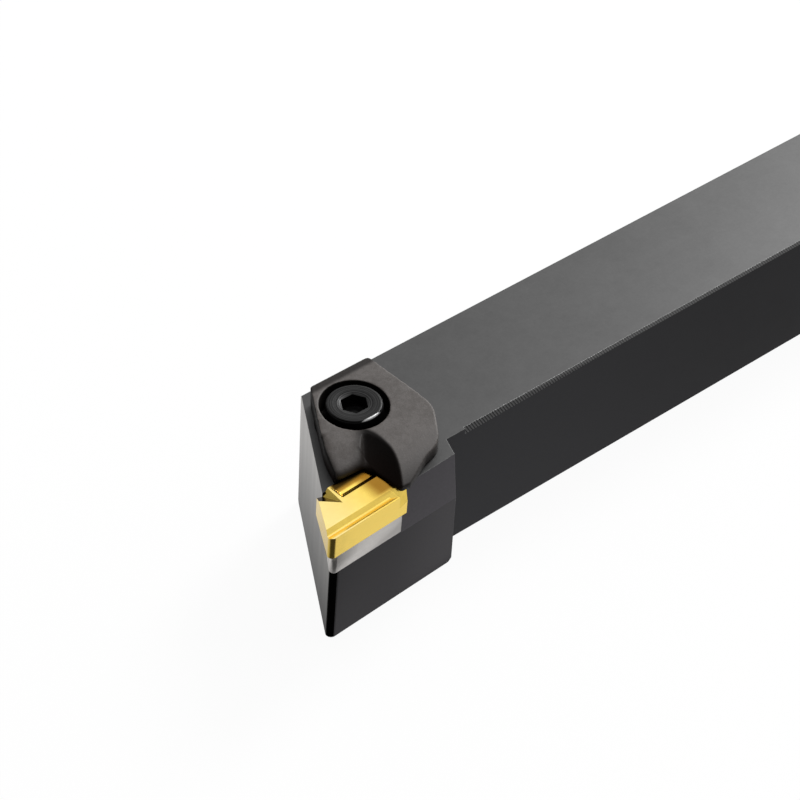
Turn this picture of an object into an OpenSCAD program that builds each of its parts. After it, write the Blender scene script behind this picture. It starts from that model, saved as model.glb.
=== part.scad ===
/* [Holder] */
// Length from the rear end of the shank to the cutting tip
total_len = 150; // [140:1:180]
// Width of the shank
shank_w = 25; // [25:0.5:28]
// Height of the shank
shank_h = 25; // [25:0.5:30]
// Distance from the back face of the shank to the cutting tip
reach = 32; // [31.5:0.25:33]
// Break along the long edges of the shank
edge_break = 0.5; // [0.2:0.05:0.7]
// Chamfer around the rear end of the shank
rear_chamfer = 0.8; // [0.3:0.1:1.5]
// Distance from the tip back to the step behind the head
head_len = 30.8; // [30.5:0.1:33]
// Angle of the step behind the head, from square
step_angle = 20; // [5:1:28]
// Angle of the end face, from square
end_angle = 30.5; // [29:0.5:32]
// Amount by which the end face lies behind the short edge of the insert
end_recess = 0.6; // [0.3:0.1:0.8]
// Radius of the upright edge under the nose
nose_edge_r = 1; // [0.8:0.1:1.4]
// Depth of the relief on the side of the head behind the pocket, at the top
side_relief = 1.8; // [1:0.1:2.2]
// Height of that relief
side_relief_h = 9; // [7:0.5:12]
// Chamfer on the lower rear corner of the head
wing_chamfer_w = 0.7; // [0.4:0.1:1.2]
// Length of the tapered flat milled on the upper edge of the shank
bevel_len = 36; // [20:1:60]
// Height of that flat where it is widest
bevel_h = 1.2; // [0.8:0.1:1.6]
// Distance from the step to the start of that flat
bevel_gap = 4.3; // [3:0.1:6]

/* [Insert and seat] */
// Angle between the cutting edge and the feed direction
approach = 93; // [92:0.5:95]
// Corner angle of the insert
corner_angle = 55; // [55:0.5:57]
// Tilt of the seat that gives the flank its clearance
seat_tilt = 3.5; // [2.5:0.5:5]
// Length of the cutting edge of the insert
insert_l = 17.75; // [16.5:0.25:18.5]
// Width of the insert
insert_w = 9.525; // [9:0.025:10]
// Thickness of the insert
insert_t = 4.76; // [4:0.02:5.2]
// Radius of the nose of the insert
nose_r = 0.8; // [0.4:0.1:1.2]
// Flat land beside the cutting edge
land_w = 0.3; // [0.2:0.05:0.5]
// Width of the chip groove
groove_w = 2.2; // [1.8:0.1:2.6]
// Depth of the chip groove
groove_d = 0.5; // [0.3:0.05:0.8]
// Length of cutting edge left at the end of the groove
groove_stop = 1.85; // [1.5:0.05:3]
// Slant of the end wall of the groove, from upright
groove_end_slant = 61; // [30:1:65]
// Length of cutting edge taken by the bevel at its end
edge_bevel_w = 1.75; // [1:0.05:2]
// Depth of that bevel on the flank
edge_bevel_h = 2.3; // [1:0.1:2.8]
// Thickness of the shim
shim_t = 3.97; // [3:0.01:4.8]
// Amount by which the shim is shorter than the insert
shim_short = 1; // [0.5:0.1:2]
// Amount by which the side end of the pocket wall leans back under the finger of the clamp
wall_lean = 1.3; // [0.8:0.1:1.8]
// Diameter of the slotted pin in the shim
shim_pin_d = 4; // [3:0.5:4.5]
// Length of that pin
shim_pin_len = 10; // [8:0.5:12]
// Wall of that pin
shim_pin_wall = 0.8; // [0.5:0.1:1]
// Width of its slot
shim_pin_slot = 0.9; // [0.5:0.1:1.2]

/* [Clamp] */
// Distance from the tip back to the clamp screw
screw_back = 21.3; // [21:0.1:21.8]
// Distance from the tip across to the clamp screw
screw_in = 20.3; // [20:0.1:20.8]
// Height of the top of the clamp above the holder, at the screw
clamp_rise = 4.1; // [3.6:0.1:5]
// Radius of the hollow beside the lobe
hollow_r = 9.1; // [8.8:0.1:9.4]
// Height of the axis of the hollow above the top of the clamp
hollow_up = 7.9; // [7.7:0.1:8.2]
// Direction of the hollow in plan, from straight across
hollow_turn = 37.3; // [36:0.1:39]
// Fall of the hollow towards the insert
hollow_fall = 21.2; // [20:0.1:22]
// Radius of the long roll on top of the lobe
lobe_roll_r = 43; // [36:1:60]
// Rounding along the upper edge of the lobe beside the hollow
lobe_edge_r = 1.3; // [0.8:0.1:1.5]
// Rounding of the front edge of the lobe
lobe_front_r = 1.7; // [1:0.1:1.8]
// Radius of the rolled shoulder that ends in the finger
front_roll_r = 18; // [16:0.5:22]
// Rounding along the upper back edge of the clamp
clamp_edge_r = 1.1; // [0.6:0.1:1.3]
// Diameter of the round boss under the clamp
boss_d = 13; // [12.4:0.1:13.2]
// Depth of that boss below the holder top
boss_depth = 3; // [2.5:0.1:4]
// Radial clearance around the boss
boss_gap = 0.4; // [0.3:0.05:0.6]
// Greatest lift of the clamp
clamp_lift = 2.5; // [1:0.1:2.6]
// Diameter of the guide dowel
dowel_d = 2.5; // [2:0.25:2.75]
// Length of the dowel pressed into the holder
dowel_seat = 7; // [5:0.5:9]

/* [Screw and spring] */
// Thread diameter of the clamp screw
screw_d = 6; // [5.5:0.1:6.2]
// Length of the screw under its head
screw_len = 20; // [17:0.5:22]
// Diameter of the screw head
head_d = 10; // [9.5:0.1:10.4]
// Height of the screw head
head_h = 4; // [3.4:0.1:4.2]
// Amount by which the head stands above the top of the clamp
head_rise = 0.4; // [0.2:0.05:0.6]
// Rounding of the rim of the head
head_rim_r = 0.8; // [0.4:0.1:1.1]
// Width across flats of the hexagon socket
hex_af = 4; // [3.5:0.1:4.5]
// Depth of that socket
hex_depth = 2.4; // [1.8:0.1:2.8]
// Radial gap between the screw head and its counterbore
head_gap = 1.1; // [0.8:0.05:1.2]
// Outer diameter of the spring
spring_od = 9.4; // [9:0.1:9.8]
// Wire of the spring
spring_wire = 0.9; // [0.7:0.05:1]
// Length of the spring when the insert is clamped
spring_len = 6; // [5.5:0.1:7]
// Active turns of the spring
spring_turns = 3; // [2:0.5:4]

/* [Hidden] */
$fn = 64;
eps = 0.01;
press_gap = 0.02;
running_gap = 0.05;
rest_gap = 0.1;
beyond = 60;
top_z = shank_h / 2;
back_y = -shank_w / 2;
lean = approach - 90;
tip = [total_len, reach + back_y];
step_x = total_len - head_len;
bevel_x = step_x - bevel_gap;

// Sharp corner of the insert, from the centre of its nose
bisector = lean + corner_angle / 2;
corner = tip - [nose_r, nose_r] + nose_r / sin(corner_angle / 2) * [cos(bisector), sin(bisector)];
seat_depth = insert_t + shim_t;
short_run = insert_w / tan(corner_angle);

// Side walls of the chip groove: the short one at the land and the long ramp up to the plateau
groove_near = 0.45;
groove_far = 0.95;
ledge_gap = 0.2;

screw_xy = tip - [screw_back, screw_in];
seat_z = top_z + rest_gap;
head_z = top_z + clamp_rise + head_rise - head_h;
boss_z = top_z - boss_depth;
spring_hole_d = spring_od + 0.6;
spring_z = boss_z - spring_len;
boss_hole_z = boss_z - 0.5;
dowel_xy = screw_xy - [6.8, 5.9];
dowel_top = top_z + rest_gap + clamp_lift + 0.5;

// Plan of the clamp, about the screw, as corners with their radii
clamp_back = -8.5;
clamp_corners = [[3, clamp_back, 1.4], [-9.6, clamp_back, 1.2], [-11.2, 8.5, 6], [-6.8, 15.4, 5],
    [-2.4, 16.4, 3], [3.3, 18.9, 0.5], [5.3, 18.75, 0.5], [5.4, 15.5, 4], [5.9, 12.6, 2], [7.1, 11.15, 0.3],
    [12.9, 10.9, 0.8], [10.8, 5.1, 10]];
hollow_xy = [6.23, 10];
lobe_crest = -4.8;
lobe_edge_up = 0.83;
lobe_edge_fall = 11.8;
lobe_front = [6.6, 11.1];
lobe_front_down = 0.4;
lobe_front_fall = 5.9;
roll_from = 11.2;

// Points of an arc about a centre
function arc(c, r, from, to, n) =
    [for (i = [0:n]) c + r * [cos(from + (to - from) * i / n), sin(from + (to - from) * i / n)]];

// Unit vector from one point to another
function unit(a, b) = (b - a) / norm(b - a);

// One corner of an outline, rounded by an arc of n steps
function round_corner(a, p, b, r, n) =
    let (u = unit(p, a), v = unit(p, b), half = acos(u * v) / 2)
    let (m = (u + v) / norm(u + v), c = p + m * r / sin(half))
    let (s = p + u * r / tan(half) - c, e = p + v * r / tan(half) - c)
    let (a0 = atan2(s[1], s[0]), raw = atan2(e[1], e[0]) - a0)
    let (turn = raw > 180 ? raw - 360 : raw < -180 ? raw + 360 : raw)
    arc(c, r, a0, a0 + turn, n);

// Outline from corners given as [x, y, radius]
function rounded(pts, n = 8) =
    [for (i = [0:len(pts) - 1])
        let (k = len(pts), a = pts[(i + k - 1) % k], p = pts[i], b = pts[(i + 1) % k])
        each (p[2] == 0 ? [[p[0], p[1]]] :
            round_corner([a[0], a[1]], [p[0], p[1]], [b[0], b[1]], p[2], n))];

// Parallelogram of the seat: the sharp nose corner at the origin, the cutting edge along -X
function seat_outline(l, w, r) =
    rounded([[0, 0, r], [-l, 0, 0], [-l - w / tan(corner_angle), -w, 0], [-w / tan(corner_angle), -w, 0]]);

// Frame of the seat: origin at the sharp corner, z = 0 on the top of the insert
module at_seat() {
    translate([corner[0], corner[1], top_z])
        rotate([-seat_tilt, 0, lean])
            children();
}

module at_screw(z) {
    translate([screw_xy[0], screw_xy[1], z])
        children();
}

// The screw's place with z = 0 on the top plane of the clamp, which is parallel to the insert
module at_clamp_top() {
    at_screw(top_z + clamp_rise)
        rotate([-seat_tilt, 0, 0])
            children();
}

// Square bar with a chamfered rear end
module shank_bar() {
    w = shank_w / 2;
    h = shank_h / 2;
    side = rear_chamfer * sqrt(2);
    difference() {
        translate([0, -w, -h])
            cube([step_x + eps, shank_w, shank_h]);
        for (quarter = [0:3])
            rotate([90 * quarter, 0, 0])
                translate([0, quarter % 2 == 0 ? w : h, 0])
                    rotate([0, 0, 45])
                        cube([side, side, beyond], center = true);
    }
}

// Breaks along the four long edges; the one above the step stops short of it
module edge_breaks() {
    side = edge_break * sqrt(2);
    runs = [[1, 1, bevel_x], [1, -1, step_x], [-1, 1, total_len], [-1, -1, total_len]];
    for (run = runs)
        translate([run[2] / 2, run[0] * shank_w / 2, run[1] * shank_h / 2])
            rotate([45, 0, 0])
                cube([run[2] + eps, side, side], center = true);
}

// Long shallow flat that runs out along the upper edge on the cutting side
module shank_bevel() {
    w = shank_w / 2;
    out = 0.5;
    polyhedron(
        points = [[bevel_x, w - edge_break, top_z], [bevel_x, w, top_z - bevel_h],
            [bevel_x - bevel_len, w, top_z - edge_break], [bevel_x, w + out, top_z + out]],
        faces = [[0, 2, 1], [0, 1, 3], [1, 2, 3], [2, 0, 3]]);
}

// Head in plan, in the frame of the seat, so that its walls keep the clearance of the flank
module head_prism() {
    drop = beyond;
    swing = end_angle + lean;
    run = (shank_w + reach) * [-sin(swing), -cos(swing)];
    base = [-end_recess / sin(90 - swing), 0];
    at_seat()
        translate([0, 0, -drop])
            linear_extrude(2 * drop)
                polygon(rounded([[base[0], 0, nose_edge_r], [-head_len - 20, 0, 0],
                    [-head_len - 20, run[1], 0], [base[0] + run[0], run[1], 0]]));
}

// Room that the head may fill, seen from above: the shank's width plus the wing behind the step
module head_room() {
    wing = reach - shank_w + 5;
    root = [step_x, shank_w / 2];
    translate([0, 0, -shank_h / 2])
        linear_extrude(shank_h)
            polygon([[step_x - 6, back_y], [total_len + 5, back_y], [total_len + 5, root[1] + wing],
                root + wing * [tan(step_angle), 1], root, [step_x - 6, root[1]]]);
}

// Slanted relief on the side of the head, above the seat and behind it
module side_relief_cut() {
    fall = side_relief_h + 4;
    at_seat()
        rotate([90, 0, -90])
            translate([0, 0, insert_l - 1])
                linear_extrude(head_len)
                    polygon([[side_relief, 0], [0, -side_relief_h], [-6, -side_relief_h], [-6, fall],
                        [side_relief, fall]]);
}

// Small chamfer on the lower rear corner of the wing
module wing_chamfer() {
    side = wing_chamfer_w * sqrt(2);
    run = reach - shank_w + 5;
    translate([step_x, shank_w / 2, -shank_h / 2])
        rotate([0, 0, -step_angle])
            translate([0, run / 2, 0])
                rotate([0, 45, 0])
                    cube([side, run, side], center = true);
}

// Room for a plate of length l, from a depth below the seat's top up, open at the end and at the side
module pocket_room(l, depth) {
    w = insert_w + press_gap;
    open = 12;
    translate([0, 0, -depth])
        linear_extrude(depth + open)
            polygon([[open, open], [-l + open / tan(corner_angle), open], [-l - w / tan(corner_angle), -w],
                [open, -w]]);
}

// Pocket for the insert, with a shorter one for the shim under it
module seat_pocket() {
    l = insert_l + press_gap;
    corner_d = 1.4;
    w = insert_w + press_gap;
    at_seat() {
        pocket_room(l, insert_t + ledge_gap);
        pocket_room(l - shim_short, seat_depth);
        translate([corner_d / 4 - l - w / tan(corner_angle), -w, -insert_t - ledge_gap])
            cylinder(h = insert_t + beyond, d = corner_d);
        translate([0, 0, -seat_depth - shim_pin_len + shim_t])
            translate(pin_at())
                cylinder(h = shim_pin_len, d = shim_pin_d + 2 * press_gap);
    }
}

// The side end of the pocket's rear wall leans back, to clear the finger of the clamp
module finger_relief() {
    foot = -insert_t - ledge_gap;
    deep = 4.5;
    at_seat()
        rotate([90, 0, 0])
            linear_extrude(deep)
                polygon([[-insert_l + 1, foot], [-insert_l - press_gap, foot], [-insert_l - wall_lean, 0],
                    [-insert_l - 2 * wall_lean, -foot], [-insert_l + 1, -foot]]);
}

// Centre of the shim, as a place in the seat frame
function pin_at() = [-(insert_l + short_run) / 2, -insert_w / 2, 0];

module holder_body() {
    color([0.22, 0.22, 0.23])
    difference() {
        union() {
            shank_bar();
            intersection() {
                head_prism();
                head_room();
            }
        }
        edge_breaks();
        shank_bevel();
        side_relief_cut();
        wing_chamfer();
        seat_pocket();
        finger_relief();
        at_screw(boss_hole_z)
            cylinder(h = beyond, d = boss_d + 2 * boss_gap);
        at_screw(spring_z)
            cylinder(h = beyond, d = spring_hole_d);
        at_screw(head_z - screw_len - 2)
            cylinder(h = beyond, d = screw_d + 2 * running_gap);
        translate([dowel_xy[0], dowel_xy[1], top_z - dowel_seat])
            cylinder(h = beyond, d = dowel_d + 2 * press_gap);
    }
}

module shim() {
    color([0.64, 0.63, 0.61])
    at_seat()
        difference() {
            translate([0, 0, -seat_depth])
                linear_extrude(shim_t)
                    polygon(seat_outline(insert_l - shim_short, insert_w, nose_r));
            translate([0, 0, -seat_depth - eps])
                translate(pin_at())
                    cylinder(h = shim_t + 2 * eps, d = shim_pin_d + 2 * press_gap);
        }
}

module shim_pin() {
    gap = 0.3;
    color([0.45, 0.45, 0.47])
    at_seat()
        translate([0, 0, -insert_t - gap - shim_pin_len + gap])
            translate(pin_at())
                difference() {
                    cylinder(h = shim_pin_len - gap, d = shim_pin_d);
                    translate([0, 0, -eps])
                        cylinder(h = shim_pin_len, d = shim_pin_d - 2 * shim_pin_wall);
                    translate([0, -shim_pin_slot / 2, -eps])
                        cube([shim_pin_d, shim_pin_slot, shim_pin_len + 1]);
                }
}

// Chip groove along one long edge, from beyond the nose to its end wall
module chip_groove() {
    floor_from = land_w + groove_near;
    floor_to = land_w + groove_w - groove_far;
    run = insert_l - groove_stop;
    start = 6;
    difference() {
        rotate([90, 0, -90])
            translate([0, 0, -start])
                linear_extrude(run + start)
                    polygon([[land_w, eps], [land_w, 0], [floor_from, -groove_d], [floor_to, -groove_d],
                        [land_w + groove_w, 0], [land_w + groove_w, eps]]);
        translate([-run, 0, 0])
            rotate([0, -groove_end_slant, 0])
                translate([-start, -start, -start])
                    cube([start, 2 * start, 2 * start]);
    }
}

// Bevel on the blunt corner at the end of a cutting edge
module blunt_bevel() {
    size = 10;
    intersection() {
        translate([-insert_l + edge_bevel_w - 0.6, 0, -edge_bevel_h])
            rotate([0, 47.2, 67.5])
                translate([-size, -size, 0])
                    cube(2 * size);
        translate([-insert_l + edge_bevel_w - size, -size, -size])
            cube([size, 2 * size, 2 * size]);
    }
}

module insert() {
    color([0.93, 0.76, 0.30])
    at_seat()
        difference() {
            translate([0, 0, -insert_t])
                linear_extrude(insert_t)
                    polygon(rounded([[0, 0, nose_r], [-insert_l, 0, 0],
                        [-insert_l - short_run, -insert_w, nose_r], [-short_run, -insert_w, 0]]));
            for (end = [0, 1])
                translate(2 * end * pin_at())
                    rotate([0, 0, 180 * end]) {
                        chip_groove();
                        blunt_bevel();
                    }
        }
}

// Place of the hollow on top of the clamp: y runs along its fall, the lobe lies on the side of +x
module at_hollow() {
    at_clamp_top()
        translate([hollow_xy[0], hollow_xy[1], 0])
            rotate([0, 0, -hollow_turn])
                children();
}

// What lies outside the rounding of an edge: the edge at the origin, the material in +x and -y
module outside_round(r, out) {
    difference() {
        translate([-out, -r])
            square([r + out, r + 1]);
        translate([r, -r])
            circle(r = r);
    }
}

// Deep hollow that falls towards the insert, with an upright wall along the lobe
module hollow_cut() {
    long = 16;
    high = 12;
    at_hollow()
        translate([0, 0, hollow_up])
            rotate([90 - hollow_fall, 0, 0])
                translate([0, 0, -long])
                    linear_extrude(2 * long)
                        intersection() {
                            union() {
                                circle(r = hollow_r);
                                translate([-hollow_r, 0])
                                    square([2 * hollow_r, high]);
                            }
                            translate([-hollow_r, -hollow_r])
                                square([hollow_r, hollow_r + high]);
                        }
}

// Long roll on top of the lobe, and the rounding of its edge beside the hollow
module lobe_cut() {
    long = 15;
    at_hollow() {
        rotate([90, 0, 90])
            linear_extrude(long)
                difference() {
                    translate([lobe_crest, -lobe_roll_r])
                        square([lobe_roll_r, lobe_roll_r + 5]);
                    translate([lobe_crest, -lobe_roll_r])
                        circle(r = lobe_roll_r);
                }
        translate([0, lobe_crest, lobe_edge_up])
            rotate([90 - lobe_edge_fall, 0, 0])
                translate([0, 0, -long])
                    linear_extrude(long)
                        outside_round(lobe_edge_r, eps);
    }
    at_clamp_top()
        translate([lobe_front[0], lobe_front[1], -lobe_front_down])
            rotate([90, -lobe_front_fall, 90])
                linear_extrude(long)
                    mirror([1, 0, 0])
                        outside_round(lobe_front_r, 1);
}

module clamp() {
    color([0.36, 0.34, 0.33])
    difference() {
        union() {
            difference() {
                translate([screw_xy[0], screw_xy[1], seat_z])
                    linear_extrude(clamp_rise + 2)
                        polygon(rounded(clamp_corners));
                at_clamp_top()
                    translate([-beyond / 2, -beyond / 2, 0])
                        cube([beyond, beyond, 10]);
                at_clamp_top()
                    translate([-beyond / 2, clamp_back, -clamp_back * (1 - cos(seat_tilt))])
                        rotate([90, 0, 90])
                            linear_extrude(beyond)
                                outside_round(clamp_edge_r, 1);
                front_roll_cut(roll_from);
                hollow_cut();
                lobe_cut();
                at_seat()
                    translate([0, 0, -5])
                        linear_extrude(5 + rest_gap)
                            polygon([[6, 6], [-insert_l - 12, 6], [-insert_l - short_run - 1.5, -insert_w - 0.5],
                                [6, -insert_w - 0.5]]);
            }
            at_screw(boss_z)
                cylinder(h = boss_depth + 0.5, d = boss_d);
        }
        at_screw(head_z)
            cylinder(h = 10, d = head_d + 2 * head_gap);
        at_screw(boss_z - eps)
            cylinder(h = 10, d = screw_d + 0.8);
        translate([dowel_xy[0], dowel_xy[1], top_z - 1])
            cylinder(h = dowel_top - top_z + 1.3, d = dowel_d + 2 * running_gap);
    }
}

// The front of the clamp rolls down towards the side, along the cutting edge
module front_roll_cut(from) {
    at_clamp_top()
        rotate([0, 0, lean])
            translate([0, from, 0])
                rotate([90, 0, 90])
                    translate([0, 0, -beyond / 2])
                        linear_extrude(beyond)
                            difference() {
                                translate([0, -front_roll_r])
                                    square([front_roll_r, front_roll_r + 5]);
                                translate([0, -front_roll_r])
                                    circle(r = front_roll_r);
                            }
}

module clamp_screw() {
    lead = 0.45;
    socket_d = hex_af / cos(30);
    color([0.30, 0.30, 0.31])
    at_screw(head_z)
        difference() {
            union() {
                rotate_extrude()
                    polygon(rounded([[0, 0, 0], [head_d / 2, 0, 0], [head_d / 2, head_h, head_rim_r],
                        [0, head_h, 0]], 4));
                translate([0, 0, -screw_len + 0.8])
                    cylinder(h = screw_len, d = screw_d);
                translate([0, 0, -screw_len])
                    cylinder(h = 0.8, d1 = screw_d - 1.6, d2 = screw_d);
            }
            translate([0, 0, head_h - hex_depth])
                cylinder(h = hex_depth + 1, d = socket_d, $fn = 6);
            translate([0, 0, head_h - lead])
                cylinder(h = lead + eps, d1 = socket_d - 0.1, d2 = socket_d + 2 * lead);
        }
}

// Height of the wire's centre along the spring: closed at both ends, open between them
function spring_rise(t) =
    let (turns = spring_turns + 2, closed = spring_wire * 1.08)
    let (pitch = (spring_len - spring_wire - 2 * closed) / spring_turns)
    spring_wire / 2 + (t < 1 ? closed * t : t > turns - 1 ? spring_len - spring_wire - closed * (turns - t)
        : closed + pitch * (t - 1));

module clamp_spring() {
    steps = 20;
    sides = 8;
    rings = (spring_turns + 2) * steps;
    r = (spring_od - spring_wire) / 2;
    wire = spring_wire / 2;
    pts = [for (i = [0:rings], k = [0:sides - 1])
        let (a = 360 * i / steps, b = 360 * k / sides)
        [(r + wire * cos(b)) * cos(a), (r + wire * cos(b)) * sin(a), spring_rise(i / steps) + wire * sin(b)]];
    tube = [for (i = [0:rings - 1], k = [0:sides - 1])
        [i * sides + k, i * sides + (k + 1) % sides, (i + 1) * sides + (k + 1) % sides, (i + 1) * sides + k]];
    first = [for (k = [0:sides - 1]) sides - 1 - k];
    last = [for (k = [0:sides - 1]) rings * sides + k];
    color([0.55, 0.55, 0.57])
    at_screw(spring_z)
        polyhedron(points = pts, faces = concat([first, last], tube), convexity = 8);
}

module clamp_dowel() {
    tip_r = 0.3;
    len = dowel_top - top_z + dowel_seat;
    color([0.62, 0.62, 0.64])
    translate([dowel_xy[0], dowel_xy[1], top_z - dowel_seat])
        rotate_extrude()
            polygon([[0, 0], [dowel_d / 2 - tip_r, 0], [dowel_d / 2, tip_r], [dowel_d / 2, len - tip_r],
                [dowel_d / 2 - tip_r, len], [0, len]]);
}

holder_body();
shim();
shim_pin();
insert();
clamp();
clamp_screw();
clamp_spring();
clamp_dowel();
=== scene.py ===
import math
import bmesh
import bpy
from mathutils import Matrix, Vector


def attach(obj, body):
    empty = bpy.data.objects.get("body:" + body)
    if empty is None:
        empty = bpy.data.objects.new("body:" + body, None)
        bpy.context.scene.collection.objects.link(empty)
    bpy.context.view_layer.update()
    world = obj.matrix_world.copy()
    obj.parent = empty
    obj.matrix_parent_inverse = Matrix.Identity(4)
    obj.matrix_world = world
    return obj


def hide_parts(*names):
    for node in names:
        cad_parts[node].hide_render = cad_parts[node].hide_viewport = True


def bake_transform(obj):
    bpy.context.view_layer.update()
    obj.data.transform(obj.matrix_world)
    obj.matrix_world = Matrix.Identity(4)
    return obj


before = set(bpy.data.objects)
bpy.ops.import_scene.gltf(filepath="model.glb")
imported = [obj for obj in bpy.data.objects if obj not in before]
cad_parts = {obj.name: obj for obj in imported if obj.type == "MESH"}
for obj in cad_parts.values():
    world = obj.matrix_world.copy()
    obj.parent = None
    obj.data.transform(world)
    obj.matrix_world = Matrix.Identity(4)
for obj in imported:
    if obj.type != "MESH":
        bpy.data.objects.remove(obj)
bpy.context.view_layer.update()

print("stage: helpers")
mm = 0.001
scene = bpy.context.scene
# Sockets of the Mix node when it mixes colours
mixFactor, mixA, mixB, mixResult = 0, 6, 7, 2


def give(tree, socket, value):  # a socket takes a link or a constant
    if isinstance(value, bpy.types.NodeSocket):
        tree.links.new(value, socket)
    else:
        socket.default_value = value


def addNode(tree, kind, inputs=None, **props):
    made = tree.nodes.new(kind)
    for name, value in props.items():
        setattr(made, name, value)
    for key, value in (inputs or {}).items():
        give(tree, made.inputs[key], value)
    return made


def calc(tree, operation, a, b=0.0, c=0.0):
    return addNode(tree, "ShaderNodeMath", {0: a, 1: b, 2: c}, operation=operation).outputs[0]


def times(tree, first, *others):
    for other in others:
        first = calc(tree, "MULTIPLY", first, other)
    return first


def largest(tree, first, *others):
    for other in others:
        first = calc(tree, "MAXIMUM", first, other)
    return first


def vectorCalc(tree, operation, a, b, output="Vector"):
    return addNode(tree, "ShaderNodeVectorMath", {0: a, 1: b}, operation=operation).outputs[output]


def dot(tree, vector, direction):
    return vectorCalc(tree, "DOT_PRODUCT", vector, direction, "Value")


def shift(tree, vector, amounts):
    return vectorCalc(tree, "SUBTRACT", vector, amounts)


def turn(tree, vector, angles):
    return addNode(tree, "ShaderNodeVectorRotate", {"Vector": vector, "Rotation": angles},
        rotation_type="EULER_XYZ", invert=True).outputs[0]


def reachAcross(tree, vector, kept):  # distance from an axis; kept is 0 along that axis
    flat = vectorCalc(tree, "MULTIPLY", vector, kept)
    return addNode(tree, "ShaderNodeVectorMath", {0: flat}, operation="LENGTH").outputs["Value"]


def split(tree, vector):
    return addNode(tree, "ShaderNodeSeparateXYZ", {0: vector}).outputs


def remap(tree, value, low, high, start=0.0, end=1.0, smooth=True):
    inputs = {"Value": value, "From Min": low, "From Max": high, "To Min": start, "To Max": end}
    kind = "SMOOTHSTEP" if smooth else "LINEAR"
    return addNode(tree, "ShaderNodeMapRange", inputs, interpolation_type=kind).outputs["Result"]


def fade(tree, value, ends, *shares, **options):  # a remap between two sizes in millimetres
    return remap(tree, value, ends[0] * mm, ends[1] * mm, *shares, **options)


def blendColours(tree, factor, a, b, mode="MIX"):
    made = addNode(tree, "ShaderNodeMix", data_type="RGBA", blend_type=mode)
    give(tree, made.inputs[mixFactor], factor)
    for socket, colour in ((mixA, a), (mixB, b)):
        give(tree, made.inputs[socket], colour if isinstance(colour, bpy.types.NodeSocket) else (*colour, 1))
    return made.outputs[mixResult]


def scaleColour(tree, colour, amount):
    made = addNode(tree, "ShaderNodeVectorMath", {0: colour}, operation="SCALE")
    give(tree, made.inputs["Scale"], amount)
    return made.outputs[0]


def grey(value):
    return (value, value, value)


def noise(tree, vector, scale, detail=2.0, rough=0.5):
    inputs = {"Vector": vector, "Scale": scale, "Detail": detail, "Roughness": rough}
    return addNode(tree, "ShaderNodeTexNoise", inputs).outputs["Fac"]


def makeGroup(name, inputs, outputs):
    tree = bpy.data.node_groups.new(name, "ShaderNodeTree")
    for label, kind, value in inputs:
        socket = tree.interface.new_socket(name=label, in_out="INPUT", socket_type=kind)
        if value is not None:
            socket.default_value = value
    for label, kind in outputs:
        tree.interface.new_socket(name=label, in_out="OUTPUT", socket_type=kind)
    return tree, tree.nodes.new("NodeGroupInput").outputs, tree.nodes.new("NodeGroupOutput").inputs


def useGroup(tree, group, **inputs):
    made = tree.nodes.new("ShaderNodeGroup")
    made.node_tree = group
    for name, value in inputs.items():
        give(tree, made.inputs[name], value)
    return made.outputs


def newMaterial(name, **constants):
    made = bpy.data.materials.new(name)
    made.use_nodes = True
    tree = made.node_tree
    tree.nodes.clear()
    shader = tree.nodes.new("ShaderNodeBsdfPrincipled")
    tree.links.new(shader.outputs[0], tree.nodes.new("ShaderNodeOutputMaterial").inputs[0])
    for name, value in constants.items():
        shader.inputs[name.replace("_", " ")].default_value = value
    place = tree.nodes.new("ShaderNodeTexCoord")
    return made, tree, shader, place.outputs["Object"], place.outputs["Normal"]


def dress(piece, material):
    piece.data.materials.clear()
    piece.data.materials.append(material)


def place2d(size, angle):
    return Vector((size * math.cos(angle), size * math.sin(angle)))


def meshFrom(work, name):  # a finished bmesh becomes a mesh
    mesh = bpy.data.meshes.new(name)
    work.to_mesh(mesh)
    work.free()
    return mesh


def addObject(name, data):
    made = bpy.data.objects.new(name, data)
    scene.collection.objects.link(made)
    return made


def evaluated(made):
    return bpy.data.meshes.new_from_object(made.evaluated_get(bpy.context.evaluated_depsgraph_get()))


def settle(name, mesh, steps):  # the mesh with modifiers applied, from millimetres to metres
    made = addObject(name, mesh)
    for kind, props in steps:
        modifier = made.modifiers.new(kind, kind)
        for key, value in props.items():
            setattr(modifier, key, value)
    final = evaluated(made)
    made.modifiers.clear()
    made.data = final
    final.transform(Matrix.Scale(mm, 4))
    final.name = name
    return made


def fineBevel(width, angle):
    return ("BEVEL", {"width": width, "segments": 2, "limit_method": "ANGLE",
        "angle_limit": math.radians(angle), "harden_normals": True})


def carve(mesh, cutters):  # cutters are taken away one by one
    base = addObject("carved", mesh)
    tools = []
    for cutter in cutters:
        tool = addObject(cutter.name, cutter)
        modifier = base.modifiers.new(cutter.name, "BOOLEAN")
        modifier.operation, modifier.solver, modifier.object = "DIFFERENCE", "EXACT", tool
        tools.append(tool)
    final = evaluated(base)
    for tool in tools + [base]:
        bpy.data.objects.remove(tool)
    return final


def loft(name, first, last):  # closed sides between two rings of points, with both ends shut
    work = bmesh.new()
    rings = [[work.verts.new(point) for point in ring] for ring in (first, last)]
    for k in range(len(first)):
        n = (k + 1) % len(first)
        work.faces.new((rings[0][k], rings[0][n], rings[1][n], rings[1][k]))
    work.faces.new(rings[0])
    work.faces.new(reversed(rings[1]))
    bmesh.ops.recalc_face_normals(work, faces=work.faces)
    return meshFrom(work, name)


def extrude(name, outline, low, high):
    return loft(name, [(x, y, low) for x, y in outline], [(x, y, high) for x, y in outline])


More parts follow.
